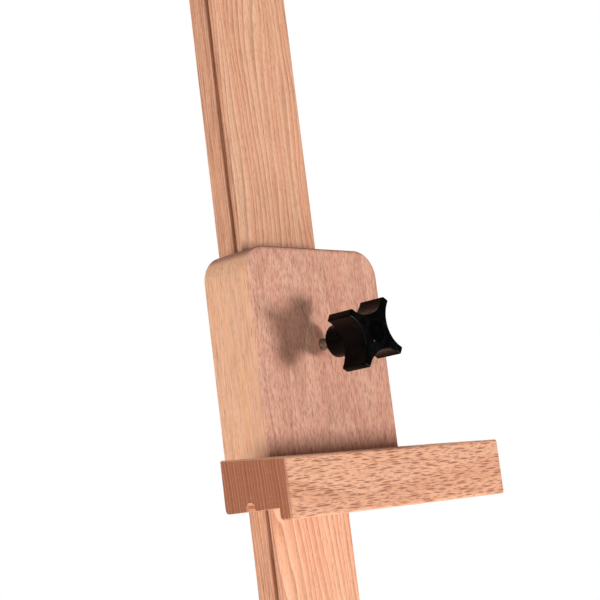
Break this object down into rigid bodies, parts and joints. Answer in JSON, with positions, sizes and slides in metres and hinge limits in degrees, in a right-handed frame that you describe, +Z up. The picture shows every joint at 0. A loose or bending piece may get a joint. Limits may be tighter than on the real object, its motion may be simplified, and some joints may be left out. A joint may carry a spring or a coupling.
{
  "type": "artist easel",
  "caption": "Wooden A-frame artist easel that leans on a folding rear leg, with a sliding mast, a canvas tray and an upper canvas holder clamped by lobed knobs.",
  "frame": {"origin": "on the floor, at the centre of the standing easel's footprint", "axes": "+Z up, +X to the right of someone facing the easel, +Y from the front of the easel to its rear leg"},
  "size_m": [0.626, 0.6336, 1.7037],
  "materials": {
    "mast_beech": "satin",
    "block_beech": "satin",
    "ledge_beech": "satin",
    "frame_beech": "satin",
    "black_plastic": "gloss",
    "brass": "satin",
    "zinc_steel": "satin",
    "rubber": "matte"
  },
  "bodies": {
    "frame": {"frame_barrel_nuts": "zinc_steel", "frame_bolts": "zinc_steel", "frame_dowels": "frame_beech", "front_foot_left": "rubber", "front_foot_right": "rubber", "front_leg_left": "frame_beech", "front_leg_right": "frame_beech", "head_block": "frame_beech", "hinge_bolt": "zinc_steel", "hinge_ear_left": "frame_beech", "hinge_ear_right": "frame_beech", "hinge_ear_screws": "zinc_steel", "hinge_nut": "zinc_steel", "hinge_washers": "zinc_steel", "leg_sector_plate": "zinc_steel", "leg_sector_screws": "zinc_steel", "lower_crossbar": "frame_beech", "mast_clamp_block": "block_beech", "mast_clamp_insert": "brass", "mast_clamp_pad": "brass", "mast_clamp_screws": "zinc_steel", "mast_guide_left": "frame_beech", "mast_guide_right": "frame_beech", "mast_guide_screws": "zinc_steel", "middle_crossbar": "frame_beech"},
    "mast": {"mast": "mast_beech"},
    "mast_knob": {"mast_knob": "black_plastic", "mast_knob_cap": "black_plastic", "mast_knob_stud": "brass"},
    "holder": {"holder_block": "block_beech", "holder_insert": "brass", "holder_ledge": "ledge_beech", "holder_pressure_pad": "brass", "holder_screws": "zinc_steel", "holder_tongues": "frame_beech"},
    "holder_knob": {"holder_knob": "black_plastic", "holder_knob_cap": "black_plastic", "holder_knob_stud": "brass"},
    "tray": {"tray_block": "block_beech", "tray_insert": "brass", "tray_ledge": "ledge_beech", "tray_pressure_pad": "brass", "tray_screws": "zinc_steel", "tray_tongues": "frame_beech"},
    "tray_knob": {"tray_knob": "black_plastic", "tray_knob_cap": "black_plastic", "tray_knob_stud": "brass"},
    "rear_leg": {"rear_leg": "frame_beech", "rear_foot": "rubber", "rear_leg_insert": "brass"},
    "rear_leg_knob": {"rear_leg_knob": "black_plastic", "rear_leg_knob_cap": "black_plastic", "rear_leg_knob_stud": "brass"}
  },
  "joints": [
    {"name": "mast_slide", "type": "slide", "parent": "frame", "child": "mast", "axis": [0, 0.1736, 0.9848], "range_m": [0, 0.2]},
    {"name": "mast_knob_turn", "type": "hinge", "parent": "frame", "child": "mast_knob", "pos_m": [0, -0.16203, 1.08258], "axis": [0, -0.9848, 0.1736], "continuous": true},
    {"name": "holder_slide", "type": "slide", "parent": "mast", "child": "holder", "axis": [0, 0.1736, 0.9848], "range_m": [-0.19, 0.215]},
    {"name": "holder_knob_turn", "type": "hinge", "parent": "holder", "child": "holder_knob", "pos_m": [0, -0.10097, 1.42884], "axis": [0, -0.9848, 0.1736], "continuous": true},
    {"name": "tray_slide", "type": "slide", "parent": "mast", "child": "tray", "axis": [0, 0.1736, 0.9848], "range_m": [-0.06, 0.2]},
    {"name": "tray_knob_turn", "type": "hinge", "parent": "tray", "child": "tray_knob", "pos_m": [0, -0.26656, 0.48973], "axis": [0, -0.9848, 0.1736], "continuous": true},
    {"name": "rear_leg_fold", "type": "hinge", "parent": "frame", "child": "rear_leg", "pos_m": [0, -0.08157, 1.0684], "axis": [-1, 0, 0], "range_deg": [0, 28]},
    {"name": "rear_leg_knob_turn", "type": "hinge", "parent": "rear_leg", "child": "rear_leg_knob", "pos_m": [0.026, -0.03711, 0.94624], "axis": [1, 0, 0], "continuous": true}
  ]
}
